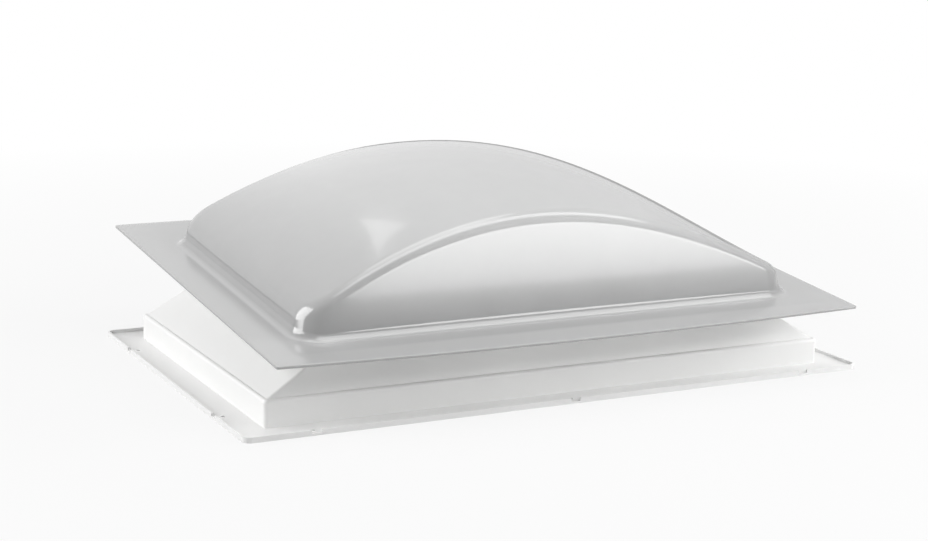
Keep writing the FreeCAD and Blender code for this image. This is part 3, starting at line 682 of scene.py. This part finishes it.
def zinc_material():
    """Zinc-plated steel: a blotched, bright grey."""
    material, graph = new_material("zinc_steel")
    place = object_place(graph)
    blotch = graph.make("ShaderNodeTexVoronoi", {}, {"Vector": place, "Scale": cells_per_metre},
                        out="Distance")
    cloud = noise(graph, place, clouds_per_metre)
    fine = noise(graph, place, zinc_grains_per_metre, 2.0)
    surface = graph.make("ShaderNodeBsdfPrincipled", {}, {
        "Base Color": tint(graph, cloud, (0.56, 0.57, 0.59), (0.70, 0.70, 0.69)),
        "Metallic": 1.0,
        "Roughness": 0.26 + blotch * 0.12 + cloud * 0.08,
        "Normal": bump(graph, fine, *zinc_relief)})
    show(graph, surface)
    return material


def rail_material():
    """Anodised aluminium, with lines drawn along Y."""
    material, graph = new_material("rail_aluminium")
    pulled = graph.make("ShaderNodeMapping", {}, {"Vector": object_place(graph),
                                                  "Scale": (1.0, line_pull, 1.0)})
    drawn = noise(graph, pulled, lines_per_metre, 2.0)
    surface = graph.make("ShaderNodeBsdfPrincipled", {}, {
        "Base Color": tint(graph, drawn, (0.70, 0.71, 0.72), (0.80, 0.80, 0.80)),
        "Metallic": 1.0,
        "Roughness": 0.28 + drawn * 0.14,
        "Normal": bump(graph, drawn, *rail_relief)})
    show(graph, surface)
    return material


zinc_steel = zinc_material()
rail_aluminium = rail_material()
print("metals: zinc_steel and rail_aluminium")


# %% [markdown]
# ## Rubber, nylon, black plastic and net
# These differ in colour, gloss and grain, but not in kind: each is a plain stuff with a fine grain, and a
# shade that changes a little over a few centimetres. So they share one recipe, and a table holds what
# differs.

# %% Rubber, nylon, black plastic and net
shades_per_metre = 40.0


def grained(name, dark, light, roughness, grain_scale, depth):
    """A matt stuff between two colours, with a fine grain of so many grains a metre."""
    material, graph = new_material(name)
    place = object_place(graph)
    broad = noise(graph, place, shades_per_metre)
    grain = noise(graph, place, grain_scale, 2.0)
    surface = graph.make("ShaderNodeBsdfPrincipled", {}, {
        "Base Color": tint(graph, broad, dark, light),
        "Roughness": roughness + grain * roughness_change,
        "Normal": bump(graph, grain, depth, grain_strength)})
    show(graph, surface)
    return material


grained_finishes = (
    ("seal_rubber", (0.018, 0.018, 0.019), (0.030, 0.030, 0.031), 0.55, 1400.0, 0.00005),
    ("black_plastic", (0.016, 0.016, 0.017), (0.024, 0.024, 0.025), 0.34, 1100.0, 0.00006),
    ("natural_nylon", (0.74, 0.72, 0.66), (0.79, 0.77, 0.71), 0.38, 700.0, 0.00004),
    ("net_fabric", (0.045, 0.046, 0.048), (0.075, 0.076, 0.078), 0.60, 2500.0, 0.00004),
)
finishes = {
    "white_moulding": white_moulding,
    "white_frame": white_frame,
    "opal_acrylic": opal_acrylic,
    "zinc_steel": zinc_steel,
    "rail_aluminium": rail_aluminium,
}
for look in grained_finishes:
    finishes[look[0]] = grained(*look)
print("finishes:", ", ".join(finishes))

# %% [markdown]
# ## Finishing the CAD pieces
# The CAD pieces are right as they are, and only need their surface. The record says for each one what it is
# made of, so a loop can give every piece its material, and no piece is forgotten.

# %% A material on every CAD piece
for entry in frame["record"]["subparts"]:
    node = frame["nodes"][entry["node"]]
    if not node.data.materials:
        node.data.materials.append(None)
    for index in range(len(node.data.materials)):
        node.data.materials[index] = finishes[entry["material_slot"]]

# %% [markdown]
# ## The flyscreen's net
# The real net is woven glass fibre with a thread every 1.5 mm or so, stretched flat in its frame. The CAD
# keeps only a coarse one. The fine net could be an alpha pattern on one sheet, but threads of real
# thickness catch the light better. Geometry Nodes repeat one thread along a line, once each way, and the
# two layers sink into each other a little, as threads do where they cross.

# %% The net
net_low, net_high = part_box("flyscreen_net")
net_sizes = {
    "Width": net_high[0] - net_low[0],
    "Depth": net_high[1] - net_low[1],
    "Level": (net_low[2] + net_high[2]) / 2,
    "Thread": 0.00028,
    "Pitch": 0.0015,
    "Layer share": 0.7,
}


def net_tree(sizes, material):
    """The node tree of a net: threads along Y under threads along X."""
    graph, size = new_tree("woven_net", sizes)
    half_x, half_y = size["Width"] * 0.5, size["Depth"] * 0.5
    half_thread = size["Thread"] * 0.5
    step_up = half_thread * size["Layer share"]

    def layer(thread_size, count, first, step, level):
        thread = graph.make("GeometryNodeMeshCube", {}, {"Size": thread_size})
        start = graph.make("ShaderNodeCombineXYZ", {}, {"X": first[0], "Y": first[1], "Z": level})
        offset = graph.make("ShaderNodeCombineXYZ", {}, {"X": step[0], "Y": step[1]})
        line = graph.make("GeometryNodeMeshLine", {"mode": "OFFSET"},
                          {"Count": count, "Start Location": start, "Offset": offset})
        return graph.make("GeometryNodeInstanceOnPoints", {}, {"Points": line, "Instance": thread})

    pitch = size["Pitch"]
    warp_size = graph.make("ShaderNodeCombineXYZ", {}, {"X": size["Thread"], "Y": size["Depth"],
                                                        "Z": size["Thread"]})
    weft_size = graph.make("ShaderNodeCombineXYZ", {}, {"X": size["Width"], "Y": size["Thread"],
                                                        "Z": size["Thread"]})
    warp = layer(warp_size, size["Width"] / pitch, (half_thread - half_x, 0.0), (pitch, 0.0),
                 size["Level"] - step_up)
    weft = layer(weft_size, size["Depth"] / pitch, (0.0, half_thread - half_y), (0.0, pitch),
                 size["Level"] + step_up)
    both = graph.make("GeometryNodeJoinGeometry", {}, {"Geometry": warp})
    graph.tree.links.new(weft.socket, both.socket.node.inputs["Geometry"])
    close_tree(graph, both, material)
    return graph


net = run_tree(net_tree(net_sizes, finishes["net_fabric"]), "woven_net", net_sizes)
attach(net, "kerb")
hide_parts("flyscreen_net")
report(net)

# %% [markdown]
# ## Floor
# The product stands on a plain white floor that runs out of sight. For the camera most of the floor's
# brightness is its own, white at strength 1 in the distance, and the rest is a matt surface that keeps the
# object's shadow. For all other rays the floor is only matt, so it sends no light of its own on the object.

# %% The floor
white = (1.0, 1.0, 1.0, 1.0)
floor_grey = (0.55, 0.55, 0.55, 1.0)
near_white = 0.86
white_from, white_over = 0.6, 1.2
floor_half, floor_level = 12, -0.0002


def floor_material():
    """A matt floor that the camera sees nearly white close by, and white far off."""
    material, graph = new_material("studio_floor")
    camera_ray = graph.make("ShaderNodeLightPath", out="Is Camera Ray")
    distance = graph.make("ShaderNodeVectorMath", {"operation": "LENGTH"}, {0: object_place(graph)},
                          out="Value")
    far = ((distance - white_from) / white_over).clamped()
    matt = graph.make("ShaderNodeBsdfDiffuse", {}, {"Color": floor_grey})
    glow = graph.make("ShaderNodeEmission", {}, {"Color": white, "Strength": 1.0})
    share = camera_ray * (near_white + far * (1.0 - near_white))
    show(graph, graph.make("ShaderNodeMixShader", {}, {0: share, 1: matt, 2: glow}))
    return material


def flat_piece(name, corners, material):
    """One flat face, given by its corners."""
    mesh = bpy.data.meshes.new(name)
    mesh.from_pydata(corners, [], [tuple(range(len(corners)))])
    mesh.materials.append(material)
    piece = bpy.data.objects.new(name, mesh)
    bpy.context.scene.collection.objects.link(piece)
    return piece


floor_corners = [(-floor_half, -floor_half, 0), (floor_half, -floor_half, 0),
                 (floor_half, floor_half, 0), (-floor_half, floor_half, 0)]
floor = flat_piece("studio_floor", floor_corners, floor_material())
floor.location.z = floor_level
print("floor", 2 * floor_half, "m square")

# %% [markdown]
# ## Surroundings
# For rays from the camera the surroundings are plain white at strength 1. Gloss mirrors them too, white on
# the left and falling to half as bright on the right, as in a studio whose right side is unlit. For soft
# light on the object they are darker still, so that the lamps can shape it.

# %% The world
soft_strength = 0.36
fall_from, fall_slope, fall_depth = 0.25, 1.6, 0.5

world = bpy.data.worlds.new("studio_world")
world.use_nodes = True
world.node_tree.nodes.clear()
sky = Graph(world.node_tree)
path = sky.make("ShaderNodeLightPath").socket.node
camera_ray, glossy_ray, transmission_ray = [
    Wire(sky, path.outputs[name]) for name in ("Is Camera Ray", "Is Glossy Ray", "Is Transmission Ray")]
seen = (camera_ray + glossy_ray + transmission_ray).clamped()
soft = sky.make("ShaderNodeBackground", {}, {"Color": white, "Strength": soft_strength})
rightward_way = sky.make("ShaderNodeSeparateXYZ", {}, {0: sky.make("ShaderNodeTexCoord", out="Generated")})
fall = ((rightward_way - fall_from) * fall_slope).clamped() * fall_depth
plain = sky.make("ShaderNodeBackground", {}, {"Color": white, "Strength": 1.0 - fall * (1.0 - camera_ray)})
surround = sky.make("ShaderNodeMixShader", {}, {0: seen, 1: soft, 2: plain})
world_output = world.node_tree.nodes.new("ShaderNodeOutputWorld")
world.node_tree.links.new(surround.socket, world_output.inputs["Surface"])
bpy.context.scene.world = world
print("surroundings: white for the camera, strength", soft_strength, "for soft light")

# %% [markdown]
# ## Lamps
# Six soft boxes light it, as in a small product studio. A large one high on the left makes the left faces
# the brightest, and one hangs overhead. A low one on the right is there only to be mirrored in the long
# front wall of the dome. A long one over the front edge shows as the bright strip at that wall's foot. Two
# more, from the front and the right, lift the frame's shaded walls and don't show in gloss.

# %% Soft boxes
def soft_box(name, place, aim, width, height, watts, in_matt=True, in_gloss=True):
    """A rectangular lamp of so many metres and watts, turned to look at a point."""
    data = bpy.data.lights.new(name, "AREA")
    data.shape = "RECTANGLE"
    data.size = width
    data.size_y = height
    data.energy = watts
    lamp = bpy.data.objects.new(name, data)
    bpy.context.scene.collection.objects.link(lamp)
    lamp.location = place
    lamp.visible_camera = False
    lamp.visible_diffuse = in_matt
    lamp.visible_glossy = in_gloss
    lamp.rotation_euler = (Vector(aim) - Vector(place)).to_track_quat("-Z", "Y").to_euler()
    return lamp


soft_boxes = [
    soft_box("left_box", (-2.65, 0.8, 1.2), (0, 0, 0.1), 2.4, 2.0, 70.0),
    soft_box("top_box", (0.1, 0.3, 2.4), (0, 0, 0.1), 1.4, 1.2, 9.5),
    soft_box("right_box", (0.75, -1.35, 0.2725), (0.2, 0.0, 0.2725), 1.0, 0.315, 5.0, in_matt=False),
    soft_box("front_box", (0.50, -0.62, 1.55), (0.50, -0.30, 0.1), 2.0, 0.6, 10.5),
    soft_box("fill_box", (0.9, -1.7, 1.15), (0.2, 0.0, 0.05), 1.0, 0.5, 13.0, in_gloss=False),
    soft_box("side_box", (2.2, -1.0, 0.9), (0.2, 0.0, 0.05), 0.9, 0.9, 33.0, in_gloss=False),
]
print(len(soft_boxes), "soft boxes,", sum(lamp.data.energy for lamp in soft_boxes), "W in all")

# %% [markdown]
# ## A card for the highlight
# The photograph shows a small three-cornered pale mark on the left half of the crown, most likely the mirror
# image of something bright behind the product. A lamp there would light the whole lid, so a glowing card is
# put where the crown mirrors it. The camera doesn't see the card, it lights no matt surface, and it throws
# no shadow, so only gloss shows it. The mark comes out softer and larger than in the photograph.

# %% The card
card_strength = 2.3
card_corners = [(-0.195, 1.418, 1.486), (0.045, 1.135, 1.722), (-0.087, 1.175, 1.697), (-0.222, 1.187, 1.692)]

card_paint, card_graph = new_material("back_card")
show(card_graph, card_graph.make("ShaderNodeEmission", {}, {"Color": white, "Strength": card_strength}))
back_card = flat_piece("back_card", card_corners, card_paint)
back_card.visible_camera = False
back_card.visible_diffuse = False
back_card.visible_shadow = False
print("card of strength", card_strength, "at", [round(v, 2) for v in card_corners[0]])

# %% [markdown]
# ## Camera
# The camera was worked out from straight edges in the photograph: the corners of the roof flange and of the
# lid give its height, its turn and its distance. It rolls by a degree or so, as hand-held cameras do.

# %% Camera
camera_place = (-1.071224, -2.04192, 0.604624)
lens_length, film_width = 73.884, 36.0
sight_limit = 60.0

turn, tilt, roll = math.radians(-27.25), math.radians(12.26), math.radians(1.39)
backward = Vector((math.sin(turn) * math.cos(tilt), -math.cos(turn) * math.cos(tilt), math.sin(tilt)))
rightward = (-backward).cross(Vector((0, 0, 1))).normalized()
upward = rightward.cross(-backward)
lean_right = rightward * math.cos(roll) + upward * math.sin(roll)
lean_up = upward * math.cos(roll) - rightward * math.sin(roll)
camera_data = bpy.data.cameras.new("camera")
camera_data.lens = lens_length
camera_data.sensor_width = film_width
camera_data.clip_end = sight_limit
camera = bpy.data.objects.new("camera", camera_data)
bpy.context.scene.collection.objects.link(camera)
pose = Matrix((lean_right, lean_up, backward)).transposed().to_4x4()
pose.translation = Vector(camera_place)
camera.matrix_world = pose
bpy.context.scene.camera = camera
bpy.context.scene.view_settings.view_transform = "Standard"
print("camera at", [round(v, 3) for v in camera.location], "lens", lens_length)
